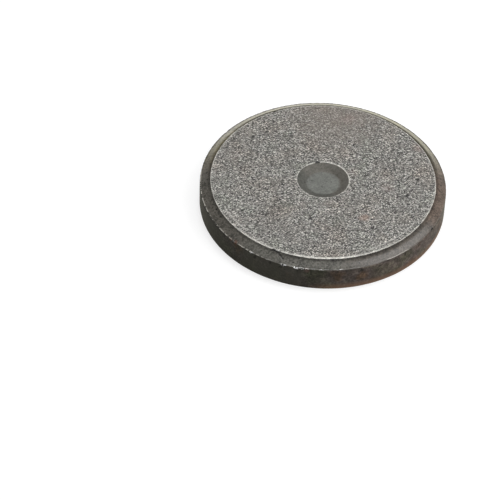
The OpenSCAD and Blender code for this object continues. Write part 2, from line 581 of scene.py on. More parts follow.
centre = add(tree, "GeometryNodeSampleIndex",
             {"Geometry": given["Hollows"], "Value": spot, "Index": turn_number},
             data_type="FLOAT_VECTOR")
stored_radius = add(tree, "GeometryNodeInputNamedAttribute", {"Name": "ball_radius"}, data_type="FLOAT")
ball_radius = add(tree, "GeometryNodeSampleIndex",
                  {"Geometry": given["Hollows"], "Value": stored_radius, "Index": turn_number},
                  data_type="FLOAT")
stored_tone = add(tree, "GeometryNodeInputNamedAttribute", {"Name": "ball_tone"}, data_type="FLOAT")
ball_tone = add(tree, "GeometryNodeSampleIndex",
                {"Geometry": given["Hollows"], "Value": stored_tone, "Index": turn_number},
                data_type="FLOAT")
print("the zone turns once for each of", len(balls), "balls")

# %% [markdown]
# ## What one turn of the zone does
# The distance from the ball's centre says how deep a point lies inside it, and the point
# moves outwards from that centre by so much. Ferrite breaks in small steps and never
# in one clean bowl, so a noise about as wide as a small flake swells and shrinks the ball.

# %% Push the points out
FLAKE_NOISE_WIDTH = 0.35 * MM
FLAKE_NOISE = 0.06 * MM
flake_noise = add(tree, "ShaderNodeTexNoise",
                  {"Vector": spot, "Scale": 1 / FLAKE_NOISE_WIDTH, "Detail": 1.0})
swell = add(tree, "ShaderNodeMath", {0: flake_noise, 1: 0.5}, operation="SUBTRACT")
rough_radius = add(tree, "ShaderNodeMath", {0: swell, 1: FLAKE_NOISE, 2: ball_radius},
                   operation="MULTIPLY_ADD")
from_centre = add(tree, "ShaderNodeVectorMath", {0: spot, 1: centre}, operation="SUBTRACT")
away = add(tree, "ShaderNodeVectorMath", {0: from_centre}, out="Value", operation="LENGTH")
inside_by = add(tree, "ShaderNodeMath", {0: rough_radius, 1: away}, operation="SUBTRACT")
push = add(tree, "ShaderNodeMath", {0: inside_by, 1: 0.0}, operation="MAXIMUM")
outwards = add(tree, "ShaderNodeVectorMath", {0: from_centre}, operation="NORMALIZE")
shift = add(tree, "ShaderNodeVectorMath", {0: outwards, "Scale": push}, operation="SCALE")
is_inside = add(tree, "FunctionNodeCompare", {"A": push, "B": 0.0}, data_type="FLOAT",
                operation="GREATER_THAN")
toned = add(tree, "GeometryNodeStoreNamedAttribute",
            {"Geometry": zone_in.outputs["Geometry"], "Selection": is_inside, "Name": "tone",
             "Value": ball_tone},
            data_type="FLOAT", domain="POINT")
pushed = add(tree, "GeometryNodeSetPosition", {"Geometry": toned, "Offset": shift})
tree.links.new(pushed, zone_out.inputs["Geometry"])
chipped = zone_out.outputs["Geometry"]
print(len(tree.nodes), "nodes with the hollows")

# %% [markdown]
# ## Grain, skin waves and crumbled edges
# A ground ferrite face is a field of torn grains, and its sharp edges crumble a little. The
# fired skin is smoother, with slow waves that the powder leaves. Two helpers serve them all:
# one says how close an edge is, and one makes a noise of a given width and depth. What is
# finer than the mesh is left to the finishes.

# %% Two helpers for the relief
# noise gathers round 0.5, so this much of its range is stretched to the full depth
NOISE_LOW = 0.3
NOISE_HIGH = 0.7
section_here = add(tree, "ShaderNodeCombineXYZ", {"X": radius_here, "Z": height_here})


def closeness(radius, height, reach):
    """1 on the edge at that radius and height, falling to 0 at the reach."""
    edge = add(tree, "ShaderNodeCombineXYZ", {"X": radius, "Z": height})
    gap = add(tree, "ShaderNodeVectorMath", {0: section_here, 1: edge}, out="Value", operation="DISTANCE")
    return add(tree, "ShaderNodeMapRange",
               {"Value": gap, "From Max": reach, "To Min": 1.0, "To Max": 0.0},
               interpolation_type="SMOOTHSTEP")


def relief(width, depth, detail):
    """Noise of that width, from 0 to the depth."""
    scale = add(tree, "ShaderNodeMath", {0: 1.0, 1: width}, operation="DIVIDE")
    noise = add(tree, "ShaderNodeTexNoise", {"Vector": spot, "Scale": scale, "Detail": detail})
    return add(tree, "ShaderNodeMapRange",
               {"Value": noise, "From Min": NOISE_LOW, "From Max": NOISE_HIGH, "To Max": depth})


print("noise from", NOISE_LOW, "to", NOISE_HIGH, "fills the depth")

# %% [markdown]
# ## Crumbled edges
# Three edges crumble: the face's edge, the rim of the land and the lip of the dimple. They
# share one noise, and the nearest of the three decides how much of it a point gets.

# %% Crumble
crumble_reach = given["Crumble Reach"]
near_edge = add(tree, "ShaderNodeMath",
                {0: closeness(given["Face Radius"], given["Thickness"], crumble_reach),
                 1: closeness(given["Disc Radius"], given["Land Height"], crumble_reach)},
                operation="MAXIMUM")
near_edge = add(tree, "ShaderNodeMath",
                {0: near_edge, 1: closeness(given["Lip Radius"], given["Thickness"], crumble_reach)},
                operation="MAXIMUM")
crumble = relief(given["Crumble Width"], given["Crumble Depth"], 2.0)
crumbled = add(tree, "ShaderNodeMath", {0: crumble, 1: near_edge}, operation="MULTIPLY")
print("edges crumble up to", round(SIZES["Crumble Depth"] / MM, 3), "mm deep")

# %% [markdown]
# ## Grain and waves
# The mark of the ground faces mixes the two reliefs: short grain where the wheel went, and
# slow waves on the fired skin. Both are only about a hundredth of a millimetre deep. A
# Displace modifier could do this too, but here both depths stay among the tree's inputs.

# %% Body relief
ground_here = add(tree, "GeometryNodeInputNamedAttribute", {"Name": "ground"}, data_type="FLOAT")
grain = relief(given["Grain Width"], given["Grain Depth"], 2.0)
waves = relief(given["Skin Wave Width"], given["Skin Wave Depth"], 3.0)
body_relief = add(tree, "ShaderNodeMix", {"Factor": ground_here, "A": waves, "B": grain}, data_type="FLOAT")
print("grain every", round(SIZES["Grain Width"] / MM, 2), "mm, waves every",
      round(SIZES["Skin Wave Width"] / MM, 2), "mm")

# %% [markdown]
# ## The rubbed side
# Magnets jump together, and one side of this rim has been knocked and rubbed round by its
# neighbours. A Bevel modifier rounds a whole edge, so the worn stretch is pushed in instead,
# strongest on the rim's edge and fading at both ends of the stretch.

# %% Rubbed side
RUBBED_FROM = -95
RUBBED_TO = -57
# the stretch fades in between these shares of its half width
RUBBED_END = 1.1
RUBBED_FULL = 0.8
rubbed_middle = math.radians((RUBBED_FROM + RUBBED_TO) / 2)
rubbed_half = math.radians((RUBBED_TO - RUBBED_FROM) / 2)
outward = add(tree, "ShaderNodeVectorMath", {0: flat_spot}, operation="NORMALIZE")
facing = add(tree, "ShaderNodeVectorMath",
             {0: outward, 1: (math.cos(rubbed_middle), math.sin(rubbed_middle), 0.0)},
             out="Value", operation="DOT_PRODUCT")
along_rub = add(tree, "ShaderNodeMapRange",
                {"Value": facing, "From Min": math.cos(rubbed_half * RUBBED_END),
                 "From Max": math.cos(rubbed_half * RUBBED_FULL)},
                interpolation_type="SMOOTHSTEP")
rub = add(tree, "ShaderNodeMath",
          {0: along_rub, 1: closeness(given["Disc Radius"], given["Land Height"], given["Rubbed Reach"])},
          operation="MULTIPLY")
rubbed = add(tree, "ShaderNodeMath", {0: rub, 1: given["Rubbed Depth"]}, operation="MULTIPLY")
print("rubbed from", RUBBED_FROM, "to", RUBBED_TO, "degrees")

# %% [markdown]
# ## Pushing it all in
# The three depths add up, and each point moves against the stored normal. Everything goes
# into the skin and never out of it, so the disc keeps its measured size.

# %% Wear the skin
depth = add(tree, "ShaderNodeMath", {0: crumbled, 1: body_relief}, operation="ADD")
depth = add(tree, "ShaderNodeMath", {0: depth, 1: rubbed}, operation="ADD")
inwards = add(tree, "ShaderNodeMath", {0: depth, 1: -1.0}, operation="MULTIPLY")
stored_normal = add(tree, "GeometryNodeInputNamedAttribute", {"Name": "outwards"}, data_type="FLOAT_VECTOR")
dent = add(tree, "ShaderNodeVectorMath", {0: stored_normal, "Scale": inwards}, operation="SCALE")
worn = add(tree, "GeometryNodeSetPosition", {"Geometry": chipped, "Offset": dent})
print(len(tree.nodes), "nodes with the wear")

# %% [markdown]
# ## Ending the tree
# The export can't carry instances, so the tree ends by making everything real, and then
# gives each face the finish that it was marked for.

# %% Last nodes
smooth = add(tree, "GeometryNodeSetShadeSmooth", {"Geometry": worn})
real = add(tree, "GeometryNodeRealizeInstances", {"Geometry": smooth})
dressed = add(tree, "GeometryNodeSetMaterial", {"Geometry": real, "Material": given["Fired Finish"]})
for mark, finish in (("ground_face", "Ground Finish"), ("wall_face", "Wall Finish")):
    chosen = add(tree, "GeometryNodeInputNamedAttribute", {"Name": mark}, data_type="BOOLEAN")
    dressed = add(tree, "GeometryNodeSetMaterial",
                  {"Geometry": dressed, "Selection": chosen, "Material": given[finish]})
tree.links.new(dressed, tree.nodes.new("NodeGroupOutput").inputs["Skin"])
print(len(tree.nodes), "nodes in the tree")

# %% [markdown]
# ## Reading a place on the disc
# The finishes follow the disc's own form: edges wear, keep dirt and get painted glints, and a
# corner gets painted shade. Wear could be painted by hand, but a finish that works out where
# each point is follows the disc when its sizes change. A distance from the axis, a height and
# a direction say it all. They start from Object coordinates, which stay fixed to the piece
# whatever moves.

# %% Helpers for a finish
def new_finish(name):
    """An empty material, and its node tree."""
    finish = bpy.data.materials.new(name)
    finish.use_nodes = True
    finish.node_tree.nodes.clear()
    return finish, finish.node_tree


def close_finish(tree, skin):
    """Links the skin to the material's output."""
    surface = tree.nodes.new("ShaderNodeOutputMaterial")
    tree.links.new(skin, surface.inputs["Surface"])


def places(tree):
    """A point's position, the same as (radius, 0, height), and its direction from the axis."""
    place = add(tree, "ShaderNodeTexCoord", out="Object")
    flat = add(tree, "ShaderNodeVectorMath", {0: place, 1: (1.0, 1.0, 0.0)}, operation="MULTIPLY")
    radius = add(tree, "ShaderNodeVectorMath", {0: flat}, out="Value", operation="LENGTH")
    height = add(tree, "ShaderNodeSeparateXYZ", {0: place}, out="Z")
    profile = add(tree, "ShaderNodeCombineXYZ", {"X": radius, "Z": height})
    direction = add(tree, "ShaderNodeVectorMath", {0: flat}, operation="NORMALIZE")
    return place, profile, direction


print("a finish reads position, radius and height, and direction")

# %% [markdown]
# ## The edges that wear
# Four round edges of the disc take wear, dirt, painted glints and painted shade. On the
# section each is a single point, so a radius and a height are enough to name it. The foot of
# the step lies just outside the face and just under it.

# %% Edges
STEP_FOOT_OUT = 0.1 * MM
STEP_FOOT_DOWN = 0.12 * MM
EDGES = {
    "face": (face_radius, thickness),
    "step foot": (face_radius + STEP_FOOT_OUT, thickness - STEP_FOOT_DOWN),
    "rim": (disc_radius, land_height),
    "lip": (SIZES["Lip Radius"], thickness),
}
for name, (radius, height) in EDGES.items():
    print(f"{name} at radius {radius / MM:.2f} mm, height {height / MM:.2f} mm")

# %% [markdown]
# ## A mask along an edge
# Wear is never even, so masks limit it. This one follows a round edge of the disc: it is
# strongest on the edge and gone at its reach. A noise shifts the distance before it is
# measured, and that makes the outline ragged, as real wear is.

# %% Edge mask
RAGGED_WIDTH = 0.3 * MM


def edge_mask(tree, place, profile, edge, reach, ragged, most=1.0):
    """Its most on the round edge at (radius, height), falling to 0 at its reach, ragged."""
    gap = add(tree, "ShaderNodeVectorMath", {0: profile, 1: (edge[0], 0.0, edge[1])}, out="Value",
              operation="DISTANCE")
    noise = add(tree, "ShaderNodeTexNoise", {"Vector": place, "Scale": 1 / RAGGED_WIDTH, "Detail": 2.0})
    shifted = add(tree, "ShaderNodeMath", {0: noise, 1: ragged, 2: gap}, operation="MULTIPLY_ADD")
    # noise gathers round 0.5, so half of the raggedness is taken off again
    return add(tree, "ShaderNodeMapRange",
               {"Value": shifted, "From Min": ragged * 0.5, "From Max": ragged * 0.5 + reach,
                "To Min": most, "To Max": 0.0}, interpolation_type="SMOOTHSTEP")


print("a ragged outline has waves of", round(RAGGED_WIDTH / MM, 2), "mm")

# %% [markdown]
# ## A mask round a side
# The other mask picks a side of the disc as seen from above. The dot product of a point's
# direction with the side's middle is the cosine of the angle between them, so no angle has
# to be worked out. Multiplied, the two masks lay wear, dirt, painted glints and painted
# shade on one stretch of one edge.

# %% Side mask
# a side is full and gone at these shares of its half width
SIDE_FULL = 0.85
SIDE_GONE = 1.25


def side_mask(tree, direction, start, end, outside=0.0, within=1.0):
    """One value between two azimuths in degrees, counter-clockwise, and another outside."""
    middle, half = math.radians((start + end) / 2), math.radians((end - start) / 2)
    facing = add(tree, "ShaderNodeVectorMath",
                 {0: direction, 1: (math.cos(middle), math.sin(middle), 0.0)}, out="Value",
                 operation="DOT_PRODUCT")
    return add(tree, "ShaderNodeMapRange",
               {"Value": facing, "From Min": math.cos(half * SIDE_GONE),
                "From Max": math.cos(half * SIDE_FULL), "To Min": outside, "To Max": within},
               interpolation_type="SMOOTHSTEP")


print("a side from 0 to 90 degrees is full from", 45 - 45 * SIDE_FULL, "to", 45 + 45 * SIDE_FULL)

# %% [markdown]
# ## Flakes and pits, in colour
# The tree left a tone on every point that a ball pushed: above 0 for a fresh flake, below 0
# for a pit. Broken ferrite is a heap of tiny facets. A few face the light and glint white,
# and the rest stay dark, so random cells paint a flake with dark facets and white painted
# glints. A pit is simply black.

# %% Flakes
FACET = 0.2 * MM
# the tone at which a flake or a pit covers the finish fully
FULL_TONE = 0.8


def flaked(tree, place, body, black):
    """The body colour with the flakes' dark facets and painted glints, and the black pits, laid over it."""
    tone = add(tree, "ShaderNodeAttribute", out="Fac", attribute_name="tone")
    cells = add(tree, "ShaderNodeTexVoronoi", {"Vector": place, "Scale": 1 / FACET}, out="Color")
    cell = add(tree, "ShaderNodeSeparateColor", {0: cells})
    # the white cells are painted glints of facets that face the light
    facets = add(tree, "ShaderNodeValToRGB", {"Fac": cell}, stops=[
        (0.25, "#1f1d1b"), (0.45, "#8f8d87"), (0.6, "#ffffff")])
    flake = add(tree, "ShaderNodeMapRange", {"Value": tone, "From Min": 0.0, "From Max": FULL_TONE})
    body = add(tree, "ShaderNodeMix", {0: flake, "A": body, "B": facets}, out=2, data_type="RGBA")
    pit = add(tree, "ShaderNodeMapRange", {"Value": tone, "From Min": 0.0, "From Max": -FULL_TONE})
    return add(tree, "ShaderNodeMix", {0: pit, "A": body, "B": linear(black)}, out=2, data_type="RGBA")


print("flakes show facets of", round(FACET / MM, 2), "mm")

# %% [markdown]
# ## Finish one: ground ferrite
# Grinding tears grains out of the hard, brittle ceramic. Each grain that stays shows a flat,
# pale spot, and each hole shows dark. A bump alone can't give that at this size, so the
# colour starts from random cells, drawn out a little along the way the wheel passed. The
# real grains are some hundredths of a millimetre wide. The cells are 0.12 mm, which is the
# finest that still shows. Coarser cells with dark joints between them give the torn look, and
# in some places the wheel smeared it all calm.

# %% Ground ferrite: the grain
ground_ferrite, paint = new_finish("ground_ferrite")
place, profile, direction = places(paint)

GRAIN = 0.12 * MM
TORN = 0.24 * MM
# how much the joints count, and where a torn cell starts and ends to darken on the way out
JOINT_SHARE = 0.35
JOINT_START, JOINT_END = 0.2, 0.8
# below 1 draws a cell out, above 1 squeezes it
WHEEL_STRETCH = (0.8, 1.35, 1.0)
along_wheel = add(paint, "ShaderNodeVectorMath", {0: place, 1: WHEEL_STRETCH}, operation="MULTIPLY")
cells = add(paint, "ShaderNodeTexVoronoi", {"Vector": along_wheel, "Scale": 1 / GRAIN}, out="Color")
cell_value = add(paint, "ShaderNodeSeparateColor", {0: cells})
joints = add(paint, "ShaderNodeTexVoronoi", {"Vector": along_wheel, "Scale": 1 / TORN}, out="Distance")
joints = add(paint, "ShaderNodeMapRange",
             {"Value": joints, "From Min": JOINT_START, "From Max": JOINT_END, "To Min": 1.0,
              "To Max": 0.0})
speckle = add(paint, "ShaderNodeMix", {"Factor": JOINT_SHARE, "A": cell_value, "B": joints},
              data_type="FLOAT")
print("grain of", round(GRAIN / MM, 2), "mm, torn every", round(TORN / MM, 2), "mm")

# %% [markdown]
# ## Calm patches and the grey of the grain
# Where the wheel smeared the grain, it is calmer: there the random value of each cell moves
# towards one middle value. A ramp then gives the greys, from a black hole to a flat that
# faces the light. Ferrite is mostly iron oxide, so a second, slower ramp tints it, barely.

# %% Ground ferrite: the greys
CALM_PATCH = 1.6 * MM
OXIDE_PATCH = 4.5 * MM
# a calm patch is this much evened out, and this light
CALM_MOST = 0.35
CALM_VALUE = 0.56
calm = add(paint, "ShaderNodeTexNoise", {"Vector": place, "Scale": 1 / CALM_PATCH, "Detail": 2.0})
calm = add(paint, "ShaderNodeMapRange",
           {"Value": calm, "From Min": 0.5, "From Max": 0.64, "To Min": 0.0, "To Max": CALM_MOST})
speckle = add(paint, "ShaderNodeMix", {"Factor": calm, "A": speckle, "B": CALM_VALUE}, data_type="FLOAT")
grain_colour = add(paint, "ShaderNodeValToRGB", {"Fac": speckle}, stops=[
    (0.16, "#090808"), (0.32, "#3b3936"), (0.5, "#706e6a"), (0.68, "#9e9c96"), (0.84, "#efede6")])
oxide = add(paint, "ShaderNodeTexNoise", {"Vector": place, "Scale": 1 / OXIDE_PATCH, "Detail": 2.0})
tint = add(paint, "ShaderNodeValToRGB", {"Fac": oxide}, stops=[
    (0.3, "#fafef9"), (0.45, "#ffffff"), (0.56, "#fffdfb"), (0.72, "#fff8f3")])
face_colour = add(paint, "ShaderNodeMix", {0: 1.0, "A": grain_colour, "B": tint}, out=2,
                  data_type="RGBA", blend_type="MULTIPLY")
print("calm patches of", round(CALM_PATCH / MM, 1), "mm, in", len(paint.nodes), "nodes so far")

# %% [markdown]
# ## A helper for stains
# Old grease and rust leave stains with a soft, wandering outline. They could be painted by
# hand, but a stain is simple enough for numbers: a place, a reach, a strength and a colour.
# One loop lays them on. A noise about as wide as the waves of the outline moves it.

# %% Stained
# a stain is full and gone at these shares of its reach
STAIN_FULL = 0.6
STAIN_GONE = 1.4


def stained(tree, place, body, stains, edge):
    """The body colour with [x, y, z, reach, strength, colour] stains, all lengths in mm."""
    wander = add(tree, "ShaderNodeTexNoise", {"Vector": place, "Scale": 1 / edge, "Detail": 3.0})
    for x, y, z, reach, strength, colour in stains:
        gap = add(tree, "ShaderNodeVectorMath", {0: place, 1: (x * MM, y * MM, z * MM)}, out="Value",
                  operation="DISTANCE")
        gap = add(tree, "ShaderNodeMath", {0: wander, 1: reach * MM, 2: gap}, operation="MULTIPLY_ADD")
        cover = add(tree, "ShaderNodeMapRange",
                    {"Value": gap, "From Min": reach * MM * STAIN_FULL,
                     "From Max": reach * MM * STAIN_GONE, "To Min": strength, "To Max": 0.0},
                    interpolation_type="SMOOTHSTEP")
        body = add(tree, "ShaderNodeMix", {0: cover, "A": body, "B": linear(colour)}, out=2,
                   data_type="RGBA")
    return body


print("a stain fades out over", round(STAIN_GONE - STAIN_FULL, 1), "of its reach")

# %% [markdown]
# ## Stains on the face
# Iron oxide and old grease leave faint brown, pink and green stains on the ground face, and
# the small ones are fingermarks and rust. The two widest darken the far side and the near
# left of the face a little.

# %% Stains on the face
# [x, y, reach, strength, colour], the lengths in mm, from the middle
# the first stain darkens the far side, and the one at (-5, -11) the near left
STAINS = [
    [1.5, 16, 13, 0.5, "#7f756c"], [-12.5, 10, 2.5, 0.2, "#84766a"], [-14, 4, 2.5, 0.2, "#84766a"],
    [6.5, -8, 1.3, 0.35, "#a5806c"], [4.5, 2, 1.6, 0.2, "#9a8078"], [10, -1, 1.6, 0.2, "#9a8078"],
    [14.5, 8.5, 1.6, 0.25, "#9a8078"], [-5, -6, 2.2, 0.2, "#6f7468"], [2.5, -9, 2, 0.2, "#6f7468"],
    [-5, -11, 6, 0.15, "#66625d"], [3.5, 14.5, 2, 0.3, "#86706a"],
]
STAIN_EDGE = 1.2 * MM
face_stains = [[x, y, thickness / MM, *rest] for x, y, *rest in STAINS]
face_colour = stained(paint, place, face_colour, face_stains, STAIN_EDGE)
print(len(STAINS), "stains on the face")

# %% [markdown]
# ## A scratched ring
# The rim of a neighbour in the stack has scratched a faint pale ring just inside the face's
# edge. It could be cut into the mesh, but it has no depth that shows. An edge mask at the
# ring's radius draws it, and two side masks keep it to the two stretches that were scratched.

# %% Ground ferrite: the scratched ring
RING_RADIUS = 16.5 * MM
RING_LINE = 0.2 * MM
RING_MOST = 0.5
# [from, to] in degrees
RING_SIDES = [(-64, -30), (-152, -133)]
ring_side = add(paint, "ShaderNodeMath",
                {i: side_mask(paint, direction, *side) for i, side in enumerate(RING_SIDES)},
                operation="MAXIMUM")
ring = edge_mask(paint, place, profile, (RING_RADIUS, thickness), RING_LINE, ragged=0.3 * MM,
                 most=RING_MOST)
ring = add(paint, "ShaderNodeMath", {0: ring, 1: ring_side}, operation="MULTIPLY")
face_colour = add(paint, "ShaderNodeMix", {0: ring, "A": face_colour, "B": linear("#cfcdc6")}, out=2,
                  data_type="RGBA")
print("a scratched ring at radius", round(RING_RADIUS / MM, 1), "mm")

# %% [markdown]
# ## The polished edge line and its painted glint
# Hands and other magnets have polished the very edge of the flat, and the glint on it is
# painted on as a thin pale line. The painted glint is broad on the near side, where it glints
# most. The dimple's lip has a thinner painted glint, strongest on one side. Each line is an
# edge mask, because the outline of real wear is never clean, as that of a narrow modelled
# face would be.

# %% Ground ferrite: the edge line
# [from, to] in degrees: where the painted glint is broad, where it glints most, and the lit lip
EDGE_GLINT_SIDE = (-135, -55)
BRIGHTEST_GLINT_SIDE = (-102, -70)
LIP_LIT_SIDE = (-15, 130)
EDGE_LINE = 0.25 * MM
BROAD_LINE = 0.6 * MM
LIP_LINE = 0.22 * MM
brightest_glint = side_mask(paint, direction, *BRIGHTEST_GLINT_SIDE)
front = add(paint, "ShaderNodeMath",
            {0: side_mask(paint, direction, *EDGE_GLINT_SIDE, within=0.7), 1: brightest_glint},
            operation="MAXIMUM")
broad = edge_mask(paint, place, profile, EDGES["face"], BROAD_LINE, ragged=0.2 * MM)
broad = add(paint, "ShaderNodeMath", {0: broad, 1: front}, operation="MULTIPLY")
edge = add(paint, "ShaderNodeMath",
           {0: edge_mask(paint, place, profile, EDGES["face"], EDGE_LINE, ragged=0.2 * MM), 1: broad},
           operation="MAXIMUM")
lip = add(paint, "ShaderNodeMath",
          {0: edge_mask(paint, place, profile, EDGES["lip"], LIP_LINE, ragged=0.12 * MM),
           1: side_mask(paint, direction, *LIP_LIT_SIDE, outside=0.55)}, operation="MULTIPLY")
edges = add(paint, "ShaderNodeMath", {0: edge, 1: lip}, operation="MAXIMUM")
print("the edge line is", round(EDGE_LINE / MM, 2), "to", round(BROAD_LINE / MM, 2), "mm wide")

# %% [markdown]
# ## Beads and dashes
# Torn grain breaks the painted glint into beads, and where it glints most the beads run
# together into short dashes. The beads come from the same cells as the grain, so each bead
# is one grain, and a broader noise makes the dashes.

# %% Ground ferrite: beads and dashes
DASH = 0.7 * MM
# what is left of the line between two beads, and between two dashes
BEAD_LEAST = 0.45
DASH_LEAST = 0.35
beads = add(paint, "ShaderNodeMapRange",
            {"Value": cell_value, "From Min": 0.15, "From Max": 0.6, "To Min": BEAD_LEAST,
             "To Max": 1.0})
dashes = add(paint, "ShaderNodeTexNoise", {"Vector": place, "Scale": 1 / DASH, "Detail": 1.0})
dashes = add(paint, "ShaderNodeMapRange",
             {"Value": dashes, "From Min": 0.42, "From Max": 0.54, "To Min": DASH_LEAST,
              "To Max": 1.0})
dashes = add(paint, "ShaderNodeMath", {0: dashes, 1: brightest_glint}, operation="MULTIPLY")
beads = add(paint, "ShaderNodeMath", {0: beads, 1: dashes}, operation="MAXIMUM")
polish_and_glint = add(paint, "ShaderNodeMath", {0: edges, 1: beads}, operation="MULTIPLY")
# the near-white colour is the edge's painted glint
face_colour = add(paint, "ShaderNodeMix", {0: polish_and_glint, "A": face_colour, "B": linear("#fcf9f0")}, out=2,
                  data_type="RGBA")
print("beads of", round(GRAIN / MM, 2), "mm, dashes of", round(DASH / MM, 2), "mm")

# %% [markdown]
# ## Closing the ground finish
# A standing grain is flat and a torn one is rough, so the roughness follows the same cells.
# The polished line is the smoothest. The bump carries the relief that the mesh is too coarse
# for. Ferrite's own index of refraction is above 2, but a torn surface hides it: 1.6 looks right.

# %% Ground ferrite: the surface
GRIT = 0.25 * MM
POLISHED = 0.3
# the tone at which a pit in the face is fully black
GROUND_PIT_TONE = -0.6
tone = add(paint, "ShaderNodeAttribute", out="Fac", attribute_name="tone")
pit = add(paint, "ShaderNodeMapRange", {"Value": tone, "From Min": 0.0, "From Max": GROUND_PIT_TONE})
face_colour = add(paint, "ShaderNodeMix", {0: pit, "A": face_colour, "B": linear("#23211f")}, out=2,
                  data_type="RGBA")
roughness = add(paint, "ShaderNodeMapRange", {"Value": speckle, "To Min": 0.75, "To Max": 0.45})
roughness = add(paint, "ShaderNodeMix", {"Factor": edges, "A": roughness, "B": POLISHED},
                data_type="FLOAT")
grit = add(paint, "ShaderNodeTexNoise", {"Vector": place, "Scale": 1 / GRIT, "Detail": 2.0})
bump = add(paint, "ShaderNodeBump", {"Height": grit, "Strength": 0.5, "Distance": 0.06 * MM})
skin = add(paint, "ShaderNodeBsdfPrincipled",
           {"Base Color": face_colour, "Roughness": roughness, "IOR": 1.6, "Normal": bump})
close_finish(paint, skin)
print(ground_ferrite.name, "has", len(paint.nodes), "nodes")

# %% [markdown]
# ## Finish two: as-fired ferrite
# The punch presses the bevel, the land and the dimple smooth, and the kiln leaves that skin
# satin, with a faint powder grain and slow clouds. Both are far fainter than the ground
# grain. They are made as one grey here, and are multiplied on to the colours later, so that
# the same grain goes on across every colour.

# %% As-fired ferrite: the grain
fired_ferrite, paint = new_finish("as_fired_ferrite")
place, profile, direction = places(paint)

POWDER_GRAIN = 0.21 * MM
CLOUD = 1.5 * MM
CLOUD_SHARE = 0.6
cells = add(paint, "ShaderNodeTexVoronoi", {"Vector": place, "Scale": 1 / POWDER_GRAIN}, out="Color")
cell_value = add(paint, "ShaderNodeSeparateColor", {0: cells})
clouds = add(paint, "ShaderNodeTexNoise", {"Vector": place, "Scale": 1 / CLOUD, "Detail": 4.0})
blend = add(paint, "ShaderNodeMix", {"Factor": CLOUD_SHARE, "A": cell_value, "B": clouds},
            data_type="FLOAT")
skin_grain = add(paint, "ShaderNodeValToRGB", {"Fac": blend}, stops=[
    (0.22, "#8a8a8a"), (0.78, "#ffffff")])
print("powder grain of", round(POWDER_GRAIN / MM, 2), "mm under clouds of", round(CLOUD / MM, 1), "mm")

# %% [markdown]
# ## The ring's colours and painted sheen
# The air in the kiln isn't the same all round, so the ring of bevel and land turns from neutral
# grey to brown. The pale olive of the far side is a painted sheen: the bright backdrop that the
# bevel mirrors at a slant there. One gradient round the axis could give that, but the turns
# are uneven. A list of sides, each with its colour, is easier to match, and a later side covers
# an earlier one.

# %% As-fired ferrite: the ring
RING_COLOUR = "#6b635a"
# [from, to, colour], the azimuths in degrees; the pale olive of the far side is painted sheen
RING_TONES_AND_SHEEN = [
    [-180, -76, "#76726a"], [-126, -80, "#7a7870"], [-24, 28, "#7e6e62"], [22, 164, "#9a9274"],
    [100, 150, "#aca48e"],
]
ring_colour_and_sheen = linear(RING_COLOUR)
for start, end, colour in RING_TONES_AND_SHEEN:
    ring_colour_and_sheen = add(paint, "ShaderNodeMix",
                      {0: side_mask(paint, direction, start, end), "A": ring_colour_and_sheen,
                       "B": linear(colour)}, out=2, data_type="RGBA")
print(len(RING_TONES_AND_SHEEN) + 1, "colours round the ring")

# %% [markdown]
# ## The dimple's colours
# The dimple has the same skin, with its floor paler than its cone, and the back and right of
# the cone painted lighter, as painted light. A distance from the middle of the floor tells the
# floor, the cone and the ring apart, so no face has to be picked by hand.

# %% As-fired ferrite: the dimple
# the lit side of the cone is painted light
CONE_LIT_SIDE = (-55, 145)
CONE_COLOUR, CONE_LIT_COLOUR, FLOOR_COLOUR = "#6f6f69", "#86837b", "#949690"
# the floor fades into the cone just inside its corner, and the dimple ends just past its lip
FLOOR_FADE = (dimple_corner - 0.45 * MM, dimple_corner + 0.05 * MM)
DIMPLE_FADE = (lip_radius + 0.6 * MM, lip_radius + 1 * MM)
floor_gap = add(paint, "ShaderNodeVectorMath", {0: profile, 1: (0.0, 0.0, floor_height)}, out="Value",
                operation="DISTANCE")
on_floor = add(paint, "ShaderNodeMapRange",
               {"Value": floor_gap, "From Min": FLOOR_FADE[0], "From Max": FLOOR_FADE[1],
                "To Min": 1.0, "To Max": 0.0}, interpolation_type="SMOOTHSTEP")
cone_colour = add(paint, "ShaderNodeMix",
                  {0: side_mask(paint, direction, *CONE_LIT_SIDE), "A": linear(CONE_COLOUR),
                   "B": linear(CONE_LIT_COLOUR)}, out=2, data_type="RGBA")
dimple_colour = add(paint, "ShaderNodeMix",
                    {0: on_floor, "A": cone_colour, "B": linear(FLOOR_COLOUR)}, out=2,
                    data_type="RGBA")
in_dimple = add(paint, "ShaderNodeMapRange",
                {"Value": floor_gap, "From Min": DIMPLE_FADE[0], "From Max": DIMPLE_FADE[1],
                 "To Min": 1.0, "To Max": 0.0})
body = add(paint, "ShaderNodeMix", {0: in_dimple, "A": ring_colour_and_sheen, "B": dimple_colour}, out=2,
           data_type="RGBA")
print(f"the pale floor ends {sum(FLOOR_FADE) / 2 / MM:.2f} mm from the axis")

# %% [markdown]
# ## Grain over the colours
# The punch's tip pressed the powder tighter in the dimple, so the grain is weaker there. It
# is mixed towards a plain grey first, and then the grain multiplies the colours.

# %% As-fired ferrite: grain over colour
DIMPLE_GRAIN = 0.42
MEAN_GRAIN = "#c8c8c8"
grain_share = add(paint, "ShaderNodeMapRange",
                  {"Value": in_dimple, "To Min": 1.0, "To Max": DIMPLE_GRAIN})
skin_grain = add(paint, "ShaderNodeMix",
                 {0: grain_share, "A": linear(MEAN_GRAIN), "B": skin_grain}, out=2, data_type="RGBA")
body = add(paint, "ShaderNodeMix", {0: 1.0, "A": body, "B": skin_grain}, out=2, data_type="RGBA",
           blend_type="MULTIPLY")
print("the dimple shows", DIMPLE_GRAIN, "of the ring's grain")

# %% [markdown]
# ## Pores
# Small pores stay open where the powder held air. They could be pressed in like the pits,
# but they are as small as the mesh's own faces, so colour has to do. A Voronoi texture gives
# each its own cell, and the middle of the cell is dark.

# %% As-fired ferrite: pores
PORE_SPACING = 1.1 * MM
